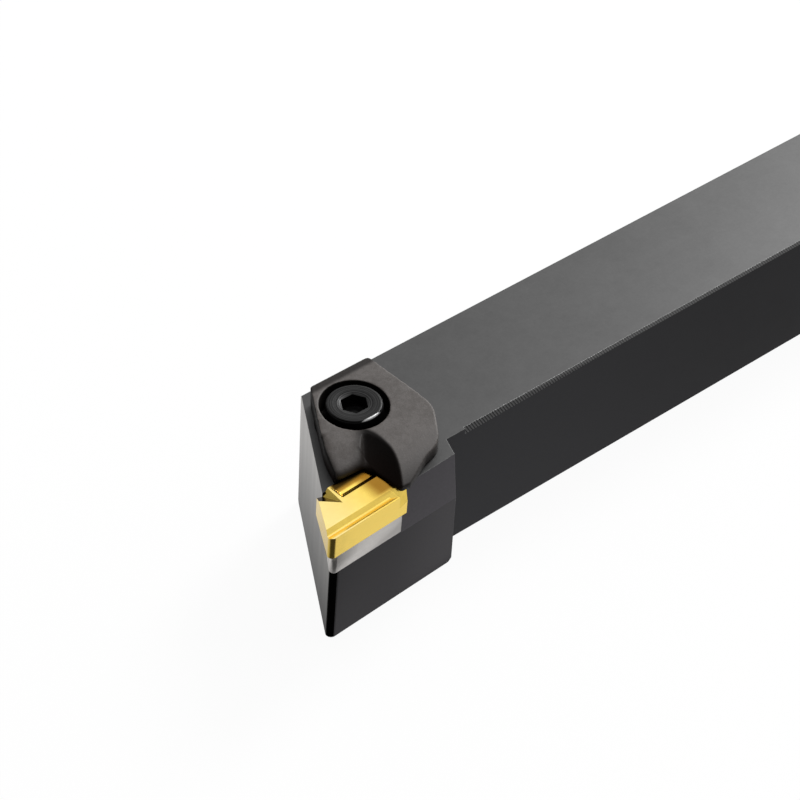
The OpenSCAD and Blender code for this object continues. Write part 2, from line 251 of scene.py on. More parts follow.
def lathe(name, rows, sides):  # rows are (radius, or radius at an angle, and height)
    work = bmesh.new()
    loops = []
    for radius, height in rows:
        loop = []
        for k in range(sides):
            angle = 2 * math.pi * k / sides
            point = place2d(radius(angle) if callable(radius) else radius, angle)
            loop.append(work.verts.new((point.x, point.y, height)))
        loops.append(loop)
    for low, high in zip(loops, loops[1:]):
        for k in range(sides):
            n = (k + 1) % sides
            work.faces.new((low[k], low[n], high[n], high[k]))
    work.faces.new(reversed(loops[0]))
    work.faces.new(loops[-1])
    work.normal_update()
    return meshFrom(work, name)


def filletCorner(before, corner, after, radius, count=10):  # points of the arc that rounds a corner
    before, corner, after = Vector(before), Vector(corner), Vector(after)
    toBefore, toAfter = (before - corner).normalized(), (after - corner).normalized()
    halfAngle = toBefore.angle(toAfter) / 2
    centre = corner + (toBefore + toAfter).normalized() * radius / math.sin(halfAngle)
    first = corner + toBefore * radius / math.tan(halfAngle) - centre
    last = corner + toAfter * radius / math.tan(halfAngle) - centre
    swing = first.angle_signed(last)
    start = math.atan2(first.y, first.x)
    return [tuple(centre + place2d(radius, start - swing * i / count)) for i in range(count + 1)]


def smoothAll(piece):
    piece.data.polygons.foreach_set("use_smooth", [True] * len(piece.data.polygons))


print("stage: shared effects")
# Rounded edges with a fine grain on top
softEdges, given, result = makeGroup("softEdges", [
    ("Vector", "NodeSocketVector", None), ("Radius", "NodeSocketFloat", 0.0001),
    ("Scale", "NodeSocketFloat", 4000.0), ("Grain", "NodeSocketFloat", 0.1),
    ("Height", "NodeSocketFloat", 0.00002)], [("Normal", "NodeSocketVector")])
bevelled = addNode(softEdges, "ShaderNodeBevel", {"Radius": given["Radius"]}, samples=6)
grainValue = noise(softEdges, given["Vector"], given["Scale"], 3.0, 0.6)
bumped = addNode(softEdges, "ShaderNodeBump", {"Height": grainValue, "Strength": given["Grain"],
    "Distance": given["Height"], "Normal": bevelled.outputs[0]})
give(softEdges, result["Normal"], bumped.outputs[0])

# Mask of worn edges, broken up by noise
edgeWear, given, result = makeGroup("edgeWear", [
    ("Vector", "NodeSocketVector", None), ("Radius", "NodeSocketFloat", 0.0004),
    ("Scale", "NodeSocketFloat", 1500.0)], [("Mask", "NodeSocketFloat")])
wide = addNode(edgeWear, "ShaderNodeBevel", {"Radius": given["Radius"]}, samples=6)
facing = addNode(edgeWear, "ShaderNodeNewGeometry")
closeness = dot(edgeWear, wide.outputs[0], facing.outputs["Normal"])
turned = remap(edgeWear, closeness, 0.995, 0.9)
broken = remap(edgeWear, noise(edgeWear, given["Vector"], given["Scale"], 3.0, 0.6), 0.35, 0.65)
give(edgeWear, result["Mask"], times(edgeWear, turned, broken))

# Blotches in two sizes, about 0.5 on average, and a separate grain
mottle, given, result = makeGroup("mottle", [
    ("Vector", "NodeSocketVector", None), ("Scale", "NodeSocketFloat", 300.0)],
    [("Value", "NodeSocketFloat"), ("Grain", "NodeSocketFloat")])
coarse = noise(mottle, given["Vector"], given["Scale"], 2.0, 0.55)
medium = noise(mottle, given["Vector"], times(mottle, given["Scale"], 4.3), 3.0, 0.6)
small = noise(mottle, given["Vector"], times(mottle, given["Scale"], 17.0), 2.0, 0.6)
give(mottle, result["Value"], calc(mottle, "MULTIPLY_ADD", coarse, 0.5, times(mottle, medium, 0.5)))
give(mottle, result["Grain"], small)

# Straight marks of a tool or a belt: thin across, long along the direction with the small stretch
toolMarks, given, result = makeGroup("toolMarks", [
    ("Vector", "NodeSocketVector", None), ("Stretch", "NodeSocketVector", (1, 1, 1))],
    [("Value", "NodeSocketFloat"), ("Broad", "NodeSocketFloat")])
drawn = vectorCalc(toolMarks, "MULTIPLY", given["Vector"], given["Stretch"])
give(toolMarks, result["Value"], noise(toolMarks, drawn, 1.0, 4.0, 0.6))
give(toolMarks, result["Broad"], noise(toolMarks, drawn, 0.22, 2.0, 0.5))

print("stage: places on the holder")
# Sizes are in millimetres and degrees, as in the solids; nose and corner are those of the insert
holderSet = {
    "length": 150.0, "edgeY": 19.5, "shankHalf": 12.5, "step": 119.2, "screw": (128.7, -0.8),
    "seatLean": 3, "seatTilt": 3.5, "endSwing": 33.5, "nose": 0.8, "corner": 55,
    "topTone": grey(0.068), "plainTone": grey(0.06),
    "sideShadeTones": ((0.0072, 0.0068, 0.0084), (0.0245, 0.0243, 0.0268)), "sideShadeFade": (30, 118),
    "lowHeadShadeTones": ((0.049, 0.046, 0.05), (0.028, 0.026, 0.029)), "lowHeadShadeFade": (121, 137),
    "highHeadLitTone": (0.093, 0.088, 0.096),
    "endTones": ((0.2, 0.19, 0.18), (0.27, 0.26, 0.245)), "endShadeFade": (-12.5, 10), "endShadeShares": (0.22, 1.1),
    "noseShadeAndHighlightTone": grey(0.004), "noseShadeAndHighlightFade": (143, 144), "wornTone": grey(0.22), "wornShare": 0.25,
    "wornWidth": 0.25, "toothPitch": 0.6, "toothLean": 0.5, "toothShadeShares": (0.35, 1.9), "toothHeight": 0.3,
    "toothFade": (11, 11.2), "rough": 0.42, "endRough": 0.3, "roughSpread": 0.08, "edgeRadius": 0.15}
# The seat is turned by the approach of the cutting edge and tilted for the clearance of its flank
seatLean, seatTilt = math.radians(holderSet["seatLean"]), math.radians(holderSet["seatTilt"])
seatTurn = Matrix.Rotation(seatLean, 3, "Z") @ Matrix.Rotation(-seatTilt, 3, "X")
endSwing = math.radians(holderSet["endSwing"])
endNormal = seatTurn @ Vector((math.cos(endSwing), -math.sin(endSwing), 0))
# The sharp corner of the insert's outline, from the centre of its rounded nose
noseHalf, noseR = math.radians(holderSet["corner"] / 2), holderSet["nose"]
noseCentre = Vector((holderSet["length"] - noseR, holderSet["edgeY"] - noseR, holderSet["shankHalf"]))
seatCorner = noseCentre + place2d(noseR / math.sin(noseHalf), seatLean + noseHalf).to_3d()
onSeat = Matrix.Translation(seatCorner) @ seatTurn.to_4x4()
screwX, screwY = holderSet["screw"]
screwAxis = Vector((screwX, screwY, 0)) * mm
shankHalf = holderSet["shankHalf"] * mm

print("stage: holder body")
steel, tree, shader, place, facingWay = newMaterial("blackenedSteel", Specular_IOR_Level=0.0)
axes, faceAxes = split(tree, place), split(tree, facingWay)
spots = useGroup(tree, mottle, Vector=place, Scale=120.0)
endPlace = turn(tree, place, (0, 0, seatLean - endSwing))
endMarks = useGroup(tree, toolMarks, Vector=endPlace, Stretch=(200, 1500, 70))
sideMarks = useGroup(tree, toolMarks, Vector=place, Stretch=(60, 900, 1600))
# Top, side of the shank, both parts of the head's side
towardsEnd = dot(tree, facingWay, endNormal)
onEnd = remap(tree, towardsEnd, 0.97, 0.995)
onTop = remap(tree, faceAxes["Z"], 0.9, 0.99)
onSide = remap(tree, faceAxes["Y"], 0.9, 0.98)
plain = blendColours(tree, onTop, holderSet["plainTone"], holderSet["topTone"])
# Painted shade: the shank's side gets darker towards the back of the shank
along = fade(tree, axes["X"], holderSet["sideShadeFade"])
plain = blendColours(tree, onSide, plain, blendColours(tree, along, *holderSet["sideShadeTones"]))
stepX = holderSet["step"]
onHead = fade(tree, axes["X"], (stepX - 0.5, stepX + 0.5))
onHead = times(tree, onHead, calc(tree, "SUBTRACT", 1.0, onTop), remap(tree, faceAxes["Y"], 0.0, 0.3))
# Painted light and shade: the head's side is lighter where it faces a little upwards, and where it faces down
# it darkens towards the nose
lowHeadShade = blendColours(tree, fade(tree, axes["X"], holderSet["lowHeadShadeFade"]), *holderSet["lowHeadShadeTones"])
headTone = blendColours(tree, remap(tree, faceAxes["Z"], 0.0, 0.1), lowHeadShade, holderSet["highHeadLitTone"])
plain = blendColours(tree, onHead, plain, headTone)
# Bright end face with marks from top to bottom, with painted shade making it darker towards its foot
bright = blendColours(tree, remap(tree, endMarks["Broad"], 0.35, 0.65), *holderSet["endTones"])
bright = scaleColour(tree, bright,
    fade(tree, axes["Z"], holderSet["endShadeFade"], *holderSet["endShadeShares"], smooth=False))
plain = blendColours(tree, onEnd, plain, bright)
# Painted shade: the rounding under the nose is made dull black and not metallic
onNose = times(tree, remap(tree, towardsEnd, -0.5, -0.2), remap(tree, towardsEnd, 0.97, 0.9),
    fade(tree, axes["X"], holderSet["noseShadeAndHighlightFade"]), remap(tree, faceAxes["Z"], 0.5, 0.3))
plain = blendColours(tree, onNose, plain, holderSet["noseShadeAndHighlightTone"])
give(tree, shader.inputs["Metallic"], calc(tree, "SUBTRACT", 1.0, onNose))
wear = useGroup(tree, edgeWear, Vector=place, Radius=holderSet["wornWidth"] * mm, Scale=900.0)["Mask"]
plain = blendColours(tree, times(tree, wear, holderSet["wornShare"]), plain, holderSet["wornTone"])
# Fine teeth on the bevel along the shank's top edge; each tooth's colour runs from painted shade to painted
# highlight
onTeeth = times(tree, remap(tree, faceAxes["Y"], 0.97, 0.95), remap(tree, faceAxes["Y"], 0.6, 0.8),
    fade(tree, axes["Z"], holderSet["toothFade"]))
slanted = calc(tree, "MULTIPLY_ADD", axes["Z"], -holderSet["toothLean"], axes["X"])
tooth = calc(tree, "FRACT", calc(tree, "DIVIDE", slanted, holderSet["toothPitch"] * mm))
toothShade = blendColours(tree, onTeeth, grey(1.0), remap(tree, tooth, 0.15, 0.6, *holderSet["toothShadeShares"]))
plain = blendColours(tree, 1.0, plain, toothShade, "MULTIPLY")
amount = times(tree, remap(tree, spots["Value"], 0.3, 0.7, 0.94, 1.06, smooth=False),
    remap(tree, spots["Grain"], 0.25, 0.75, 0.95, 1.05, smooth=False))
give(tree, shader.inputs["Base Color"], scaleColour(tree, plain, amount))
rough = remap(tree, onEnd, 0.0, 1.0, holderSet["rough"], holderSet["endRough"], smooth=False)
rough = calc(tree, "MULTIPLY_ADD", spots["Value"], holderSet["roughSpread"], rough)
give(tree, shader.inputs["Roughness"], rough)
edges = useGroup(tree, softEdges, Vector=place, Radius=holderSet["edgeRadius"] * mm, Scale=5000.0, Grain=0.15,
    Height=0.01 * mm)
ridges = addNode(tree, "ShaderNodeBump", {"Height": endMarks["Value"], "Distance": 0.02 * mm,
    "Strength": times(tree, onEnd, 0.5), "Normal": edges["Normal"]})
teeth = addNode(tree, "ShaderNodeBump", {"Height": tooth, "Distance": holderSet["toothHeight"] * mm,
    "Strength": onTeeth, "Normal": ridges.outputs[0]})
feed = addNode(tree, "ShaderNodeBump", {"Height": sideMarks["Value"], "Distance": 0.01 * mm, "Strength": 0.25,
    "Normal": teeth.outputs[0]})
give(tree, shader.inputs["Normal"], feed.outputs[0])
dress(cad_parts["holder_body"], steel)

print("stage: insert")
# Lines across the insert are counted from its cutting edge, lines along it from the sharp nose
insertSet = {
    "length": 17.75, "width": 9.525, "thick": 4.76,
    "land": 0.3, "valley": 1.45, "shoulder": 2.45, "depth": 0.5, "stop": 1.85, "slant": 0.9, "farWider": 0.85,
    "overhang": 0.9, "overhangFrom": 1.0,
    "bevel": 1.75, "bevelLow": (0.6, 2.3), "bevelNormal": (0.281, 0.678, 0.679),
    "notchCorner": (-7.9, -5.33), "notchAcross": (-0.694, -0.72), "notchFall": 30, "notchWallFoot": 1.9,
    "edge": 0.06,
    "tones": ((0.97, 0.67, 0.12), (1.0, 0.75, 0.16)), "noseShadeAndHighlightTone": (1.0, 0.83, 0.36), "noseShadeAndHighlightFade": (-14, -3),
    "shadedTone": (0.27, 0.11, 0.006), "fingerShadeTone": (0.3, 0.13, 0.008), "deepShadeTone": (0.02, 0.009, 0.001),
    "shadedX": (-11.6, -14.8), "shadedY": (-1.8, -3.2), "fingerX": (-8.3, -9.2), "fingerY": (-7.5, -8.0),
    "deepY": (-7.9, -8.7), "drawnTone": (0.6, 0.36, 0.08), "drawnShare": 0.12, "rough": (0.16, 0.26)}
notchFall, (acrossX, acrossY) = math.radians(insertSet["notchFall"]), insertSet["notchAcross"]
notchLean = math.sin(notchFall)
notchWay = seatTurn @ Vector((acrossX * notchLean, acrossY * notchLean, math.cos(notchFall)))
gold, tree, shader, place, facingWay = newMaterial("goldCoating", Metallic=1.0)
seatPlace = turn(tree, shift(tree, place, seatCorner * mm), (0, 0, seatLean))
seatAxes = split(tree, seatPlace)
spots = useGroup(tree, mottle, Vector=place, Scale=220.0)
drawnLines = useGroup(tree, toolMarks, Vector=seatPlace, Stretch=(120, 1800, 1800))
tone = blendColours(tree, spots["Value"], *insertSet["tones"])
# Painted highlight: the plateau is paler towards the nose
onPlateau = remap(tree, split(tree, facingWay)["Z"], 0.98, 0.995)
noseHighlight = times(tree, onPlateau, fade(tree, seatAxes["X"], insertSet["noseShadeAndHighlightFade"], 0.0, 0.8))
tone = blendColours(tree, noseHighlight, tone, insertSet["noseShadeAndHighlightTone"])
# Painted shade: brown where the clamp shades the coating, nearly black under its finger and on the notch's
# floor
underClamp = times(tree, fade(tree, seatAxes["X"], insertSet["shadedX"]),
    fade(tree, seatAxes["Y"], insertSet["shadedY"]), 0.9)
tone = blendColours(tree, underClamp, tone, insertSet["shadedTone"])
beyondNotch = fade(tree, seatAxes["X"], insertSet["fingerX"])
fingerShade = times(tree, fade(tree, seatAxes["Y"], insertSet["fingerY"]), beyondNotch, 0.85)
tone = blendColours(tree, fingerShade, tone, insertSet["fingerShadeTone"])
underFinger = times(tree, fade(tree, seatAxes["Y"], insertSet["deepY"]), beyondNotch)
onNotch = remap(tree, dot(tree, facingWay, notchWay), 0.95, 0.985)
tone = blendColours(tree, largest(tree, underFinger, onNotch), tone, insertSet["deepShadeTone"])
onLines = times(tree, drawnLines["Value"], insertSet["drawnShare"])
tone = blendColours(tree, onLines, tone, insertSet["drawnTone"])
give(tree, shader.inputs["Base Color"], tone)
give(tree, shader.inputs["Roughness"], remap(tree, spots["Value"], 0.3, 0.7, *insertSet["rough"]))
edges = useGroup(tree, softEdges, Vector=place, Radius=insertSet["edge"] * mm, Scale=2500.0, Grain=0.12,
    Height=0.01 * mm)
give(tree, shader.inputs["Normal"], edges["Normal"])

length, width, thick = insertSet["length"], insertSet["width"], insertSet["thick"]
shortRun = width / math.tan(2 * noseHalf)
sharp = [(0, 0), (-length, 0), (-length - shortRun, -width), (-shortRun, -width)]
outline = filletCorner(sharp[3], sharp[0], sharp[1], noseR) + [sharp[1]]
outline += filletCorner(sharp[1], sharp[2], sharp[3], noseR) + [sharp[3]]


def setOut(x, y):  # the end by the nose stands out more and more towards its blunt corner
    share = max(0.0, -y - insertSet["overhangFrom"]) / (width - insertSet["overhangFrom"])
    return (x + insertSet["overhang"] * share, y)


blank = extrude("insertBlank", [setOut(x, y) for x, y in outline], -thick, 0)
middle = Vector((-(length + shortRun) / 2, -width / 2, 0))
halfTurn = Matrix.Translation(middle) @ Matrix.Rotation(math.pi, 4, "Z") @ Matrix.Translation(-middle)


def grooveCutter(name, wider=0.0):  # it falls from the land to its valley and climbs steeply to the shoulder
    startX, endX, over = 6.0, insertSet["stop"] - length, 0.4
    land, depth, nearFloor = -insertSet["land"], insertSet["depth"], -0.93 * insertSet["depth"]
    valley, shoulder = -insertSet["valley"] - wider, -insertSet["shoulder"] - wider
    profile = [(land, 0), (valley + 0.2, nearFloor), (valley, -depth), (valley - 0.15, nearFloor),
        (shoulder, 0), (shoulder, over), (land, over)]
    return loft(name, [(startX, y, z) for y, z in profile],
        [(endX - insertSet["slant"] * min(z, 0) / depth, y, z) for y, z in profile])


near, far = grooveCutter("grooveNear"), grooveCutter("grooveFar", insertSet["farWider"])
far.transform(halfTurn)
# The rear blunt corner is cut back down to a slanting plane
bevelX = insertSet["bevel"] - length
back, drop = insertSet["bevelLow"]
normal = Vector(insertSet["bevelNormal"])
offset = normal.dot(Vector((bevelX - back, 0, -drop)))
blunt = extrude("bluntBevel", [(bevelX, 3), (bevelX - 4, 3), (bevelX - 4, -5), (bevelX, -5)], 0, 4)
for vertex in blunt.vertices:
    if vertex.co.z < 1:
        vertex.co.z = (offset - normal.x * vertex.co.x - normal.y * vertex.co.y) / normal.z
# The front blunt corner has a notch with a sloping floor and a leaning wall
cornerX, cornerY = insertSet["notchCorner"]
notch = extrude("cornerNotch", [(cornerX, cornerY), (-4.0, -9.09), (-4.0, -13), (-8.4, -13)], 0, 0.08)
for vertex in notch.vertices:
    if vertex.co.z == 0:
        if vertex.co.x < -8:
            vertex.co.x += insertSet["notchWallFoot"]
        beyond = acrossX * (vertex.co.x - cornerX) + acrossY * (vertex.co.y - cornerY)
        vertex.co.z = -math.tan(notchFall) * max(0.0, beyond)
carved = carve(blank, [near, far, blunt, notch])
carved.transform(onSeat)
insert = settle("insertCoated", carved, [fineBevel(insertSet["edge"], 14)])
dress(insert, gold)
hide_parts("insert")
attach(insert, "holder")

print("stage: shim")
shimSet = {"shorter": 1.0, "trim": 0.6, "thick": 3.97, "pinHole": 2.02, "edge": 0.05,
    "tones": ((0.48, 0.46, 0.44), (0.6, 0.58, 0.56)), "fade": (132, 147), "shares": (0.87, 1.4),
    "rough": (0.36, 0.46)}
carbide, tree, shader, place, _ = newMaterial("groundCarbide", Metallic=1.0)
ground = useGroup(tree, toolMarks, Vector=turn(tree, place, (0, 0, seatLean)), Stretch=(90, 2500, 2500))
spots = useGroup(tree, mottle, Vector=place, Scale=250.0)
# Painted light: the shim gets brighter towards its nose end
share = fade(tree, split(tree, place)["X"], shimSet["fade"], *shimSet["shares"], smooth=False)
give(tree, shader.inputs["Base Color"],
    scaleColour(tree, blendColours(tree, ground["Value"], *shimSet["tones"]), share))
give(tree, shader.inputs["Roughness"], remap(tree, spots["Value"], 0.3, 0.7, *shimSet["rough"]))
edges = useGroup(tree, softEdges, Vector=place, Radius=0.08 * mm, Scale=6000.0, Grain=0.2, Height=0.01 * mm)
give(tree, shader.inputs["Normal"], edges["Normal"])

plateEnd, plateStart, plateLow = shimSet["shorter"] - length, -shimSet["trim"], -thick - shimSet["thick"]
corners = [(plateStart, 0), (plateEnd, 0), (plateEnd - shortRun, -width), (plateStart - shortRun, -width)]
plateOutline = filletCorner(corners[3], corners[0], corners[1], noseR) + corners[1:]
pinHole = lathe("pinHole", [(shimSet["pinHole"], plateLow - 1), (shimSet["pinHole"], 0)], 48)
pinHole.transform(Matrix.Translation(middle))
plate = carve(extrude("shimBlank", plateOutline, plateLow, -thick), [pinHole])
plate.transform(onSeat)
shim = settle("shimGround", plate, [fineBevel(shimSet["edge"], 30)])
smoothAll(shim)
dress(shim, carbide)
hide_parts("shim")
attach(shim, "holder")

print("stage: clamp")
clampSet = {
    "top": 16.6, "hollow": (6.23, 9.5, 7.3), "hollowTurn": 37.3, "hollowFall": 24.7,
    "voxel": 0.16, "softening": 7, "lobeAbove": (134.5, 1.5, 13.1), "lobeSoftening": 90,
    "rightWay": (-0.765, 0.644, 0), "cornerStart": 10.5, "cornerShare": 0.89,
    "tones": ((0.053, 0.044, 0.039), (0.09, 0.08, 0.075)), "speckle": (0.8, 1.2),
    "wornTone": (0.3, 0.27, 0.24), "wornShare": 0.4, "wornWidth": 0.5,
    "clampShadeTone": (0.002, 0.0018, 0.0016), "clampShadeShare": 0.93, "endWallWay": (0.86, -0.5, 0),
    "lowShadeTone": (0.008, 0.005, 0.004), "lowShadeShare": 0.95, "lowZ": (16.2, 13.4), "lowY": (2, 7),
    "hollowEdge": (9.5, 9.1), "hollowFade": (2.2, -1.2), "boreEdge": (6.3, 6.1), "backFade": (-6.8, -7.7),
    "gloss": 0.36, "glossLoss": 0.33, "rough": (0.5, 0.62)}
hollowX, hollowY, hollowUp = clampSet["hollow"]
hollowFoot = Vector((screwX + hollowX, screwY + hollowY, clampSet["top"] + hollowUp)) * mm
hollowTurn, hollowFall = math.radians(clampSet["hollowTurn"]), math.radians(clampSet["hollowFall"])
forged, tree, shader, place, facingWay = newMaterial("phosphatedForging", Metallic=0.0)
axes = split(tree, place)
spots = useGroup(tree, mottle, Vector=place, Scale=260.0)
warm = blendColours(tree, remap(tree, spots["Value"], 0.35, 0.65), *clampSet["tones"])
warm = scaleColour(tree, warm, remap(tree, spots["Grain"], 0.3, 0.7, *clampSet["speckle"], smooth=False))
wear = useGroup(tree, edgeWear, Vector=place, Radius=clampSet["wornWidth"] * mm, Scale=1200.0)["Mask"]
warm = blendColours(tree, times(tree, wear, clampSet["wornShare"]), warm, clampSet["wornTone"])
# Painted shade darkens the hollow, the counterbore, the back edge, the wall by the end face and the low
# front, and takes gloss off the first four
inHollow = turn(tree, shift(tree, place, hollowFoot), (0, 0, -hollowTurn))
inHollow = turn(tree, inHollow, (-hollowFall, 0, 0))
hollowReach = reachAcross(tree, inHollow, (1, 0, 1))
boreReach = reachAcross(tree, shift(tree, place, screwAxis), (1, 1, 0))
clampShade = times(tree, fade(tree, hollowReach, clampSet["hollowEdge"]),
    fade(tree, split(tree, inHollow)["X"], clampSet["hollowFade"]))
onEndWall = remap(tree, dot(tree, facingWay, clampSet["endWallWay"]), 0.45, 0.85)
clampShade = largest(tree, clampShade, fade(tree, boreReach, clampSet["boreEdge"]), onEndWall,
    fade(tree, axes["Y"], clampSet["backFade"], 0.0, 0.75))
warm = blendColours(tree, times(tree, clampShade, clampSet["clampShadeShare"]), warm, clampSet["clampShadeTone"])
low = times(tree, fade(tree, axes["Z"], clampSet["lowZ"]), fade(tree, axes["Y"], clampSet["lowY"]),
    clampSet["lowShadeShare"])
warm = blendColours(tree, low, warm, clampSet["lowShadeTone"])
give(tree, shader.inputs["Base Color"], warm)
give(tree, shader.inputs["Specular IOR Level"],
    calc(tree, "MULTIPLY_ADD", clampShade, -clampSet["glossLoss"], clampSet["gloss"]))
give(tree, shader.inputs["Roughness"], remap(tree, spots["Value"], 0.3, 0.7, *clampSet["rough"]))
edges = useGroup(tree, softEdges, Vector=place, Radius=0.05 * mm, Scale=3500.0, Grain=0.45, Height=0.05 * mm)
give(tree, shader.inputs["Normal"], edges["Normal"])

# The solid's mesh in millimetres, its flat faces joined up before the remesh
work = bmesh.new()
work.from_mesh(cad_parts["clamp"].data)
bmesh.ops.scale(work, vec=(1 / mm,) * 3, verts=work.verts)
bmesh.ops.remove_doubles(work, verts=work.verts, dist=0.0005)
bmesh.ops.dissolve_limit(work, angle_limit=math.radians(0.1), verts=work.verts, edges=work.edges)
clamp = settle("clampForged", meshFrom(work, "clampClean"), [
    ("TRIANGULATE", {}),
    ("REMESH", {"mode": "VOXEL", "voxel_size": clampSet["voxel"], "adaptivity": 0.0}),
    ("SMOOTH", {"factor": 0.5, "iterations": clampSet["softening"]})])
work = bmesh.new()
work.from_mesh(clamp.data)
lobeLow = [least * mm for least in clampSet["lobeAbove"]]
lobe = [v for v in work.verts if all(a > b for a, b in zip(v.co, lobeLow))]
for _ in range(clampSet["lobeSoftening"]):
    bmesh.ops.smooth_vert(work, verts=lobe, factor=0.5, use_axis_x=True, use_axis_y=True, use_axis_z=True)
# The right corner is drawn in towards the screw
rightWay = Vector(clampSet["rightWay"])
for vertex in work.verts:
    past = (vertex.co - screwAxis).dot(rightWay) - clampSet["cornerStart"] * mm
    if past > 0:
        vertex.co -= rightWay * past * (1 - clampSet["cornerShare"])
work.to_mesh(clamp.data)
work.free()
smoothAll(clamp)
dress(clamp, forged)
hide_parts("clamp")
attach(clamp, "clamp")

print("stage: clamp screw")
screwSet = {"thread": 3.0, "pitch": 1.0, "depth": 0.55, "tip": 0.9, "length": 20.0, "threaded": 15.0,
    "head": 5.0, "height": 4.0, "foot": 0.2, "rim": 0.45, "dish": 0.3, "hex": 2.2, "socket": 2.4, "lead": 0.2,
    "under": 13.0, "sides": 96, "steps": 200,
    "tones": (grey(0.004), grey(0.038)), "glintTone": grey(0.4), "glintEdge": (4.4, 4.6),
    "ringsPerMetre": 2600.0, "ringDepth": 0.06, "rough": (0.36, 0.46)}
screwSteel, tree, shader, place, facingWay = newMaterial("turnedScrew", Metallic=1.0)
centred = shift(tree, place, screwAxis)
faceUp = split(tree, facingWay)["Z"]
ringPlace = times(tree, reachAcross(tree, centred, (1, 1, 0)), screwSet["ringsPerMetre"])
rings = addNode(tree, "ShaderNodeTexNoise", {"W": ringPlace, "Scale": 1.0, "Detail": 4.0, "Roughness": 0.65},
    noise_dimensions="1D").outputs["Fac"]
spots = useGroup(tree, mottle, Vector=place, Scale=400.0)
ringTone = blendColours(tree, remap(tree, rings, 0.35, 0.65), *screwSet["tones"])
# Painted highlight: a glint on one stretch of the rim
rimGlint = times(tree, fade(tree, split(tree, centred)["Y"], screwSet["glintEdge"]),
    remap(tree, faceUp, 0.35, 0.7))
give(tree, shader.inputs["Base Color"], blendColours(tree, rimGlint, ringTone, screwSet["glintTone"]))
give(tree, shader.inputs["Roughness"], remap(tree, spots["Value"], 0.3, 0.7, *screwSet["rough"]))
edges = useGroup(tree, softEdges, Vector=place, Radius=0.06 * mm, Scale=5000.0, Grain=0.15, Height=0.01 * mm)
grooves = addNode(tree, "ShaderNodeBump", {"Height": rings, "Distance": screwSet["ringDepth"] * mm,
    "Strength": times(tree, remap(tree, faceUp, 0.7, 0.95), 0.6), "Normal": edges["Normal"]})
give(tree, shader.inputs["Normal"], grooves.outputs[0])


def between(value, low=0.0, high=1.0):
    return max(low, min(high, value))


def threadRadius(height):
    def radius(angle):
        phase = ((height / screwSet["pitch"]) - angle / (2 * math.pi)) % 1.0
        ridge = between(abs(phase - 0.5) * 2.6 - 0.2)
        runOut = between((screwSet["threaded"] - screwSet["length"] - height) / screwSet["pitch"])
        full = screwSet["thread"] - screwSet["depth"] * ridge * runOut
        return min(full, screwSet["thread"] - screwSet["tip"] + (height + screwSet["length"]))
    return radius


def hexRadius(angle):
    sixth = math.pi / 3
    return screwSet["hex"] / math.cos((angle % sixth) - sixth / 2)


rows = []
for i in range(screwSet["steps"] + 1):
    height = i * screwSet["length"] / screwSet["steps"] - screwSet["length"]
    rows.append((threadRadius(height), height))
headR, headH, rimR, lead = screwSet["head"], screwSet["height"], screwSet["rim"], screwSet["lead"]
rows += [(headR - screwSet["foot"], 0.0), (headR, screwSet["foot"])]
for i in range(9):
    corner = place2d(rimR, math.pi / 2 * i / 8)
    rows.append((headR - rimR + corner.x, headH - rimR + corner.y))
mouthR = screwSet["hex"] / math.cos(math.pi / 6) + lead
rows += [(headR - rimR - screwSet["dish"], headH - 0.005),
    (mouthR + 0.12, headH - 0.02), (mouthR, headH - 0.06), (hexRadius, headH - lead),
    (hexRadius, headH - lead - 0.05), (hexRadius, headH - screwSet["socket"])]
screwMesh = lathe("screwTurned", rows, screwSet["sides"])
screwMesh.transform(Matrix.Translation((screwX, screwY, screwSet["under"])))
screwMesh.transform(Matrix.Scale(mm, 4))
screw = addObject("screwTurned", screwMesh)
smoothAll(screw)
screwMesh.set_sharp_from_angle(angle=math.radians(35))
dress(screw, screwSteel)
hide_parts("clamp_screw")
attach(screw, "screw")

print("stage: spring")
springSet = {"outer": 9.4, "wire": 0.9, "length": 6.0, "turns": 3, "foot": 3.5, "around": 14, "perTurn": 48,
    "tones": (grey(0.34), grey(0.5)), "rough": (0.25, 0.4)}
wire, tree, shader, place, _ = newMaterial("springWire", Metallic=1.0)
spots = useGroup(tree, mottle, Vector=place, Scale=500.0)
give(tree, shader.inputs["Base Color"], blendColours(tree, spots["Value"], *springSet["tones"]))
give(tree, shader.inputs["Roughness"], remap(tree, spots["Grain"], 0.3, 0.7, *springSet["rough"]))
edges = useGroup(tree, softEdges, Vector=place, Radius=0.02 * mm, Scale=6000.0, Grain=0.2, Height=0.01 * mm)
give(tree, shader.inputs["Normal"], edges["Normal"])
wireR, coilR = springSet["wire"] / 2, (springSet["outer"] - springSet["wire"]) / 2
allTurns = springSet["turns"] + 2


def springRise(t):  # one closed turn at each end, open turns between them
    closed = springSet["wire"] * 1.08
    if t < 1:
        rise = closed * t
    elif t > allTurns - 1:
        rise = springSet["length"] - springSet["wire"] - closed * (allTurns - t)
    else:
        rise = closed + (springSet["length"] - springSet["wire"] - 2 * closed) / springSet["turns"] * (t - 1)
    return wireR + rise


work = bmesh.new()
around, perTurn = springSet["around"], springSet["perTurn"]
loops = []
for i in range(allTurns * perTurn + 1):
    height = springSet["foot"] + springRise(i / perTurn)
    loop = []
    for k in range(around):
        section = place2d(wireR, 2 * math.pi * k / around)
        point = place2d(coilR + section.x, 2 * math.pi * i / perTurn)
        loop.append(work.verts.new((screwX + point.x, screwY + point.y, height + section.y)))
    loops.append(loop)
for low, high in zip(loops, loops[1:]):
    for k in range(around):
        n = (k + 1) % around
        work.faces.new((low[n], low[k], high[k], high[n]))
work.faces.new(loops[0])
work.faces.new(reversed(loops[-1]))
bmesh.ops.recalc_face_normals(work, faces=work.faces)
springMesh = meshFrom(work, "springCoil")
springMesh.transform(Matrix.Scale(mm, 4))
spring = addObject("springCoil", springMesh)
smoothAll(spring)
springMesh.set_sharp_from_angle(angle=math.radians(50))
dress(spring, wire)
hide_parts("clamp_spring")
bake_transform(spring)

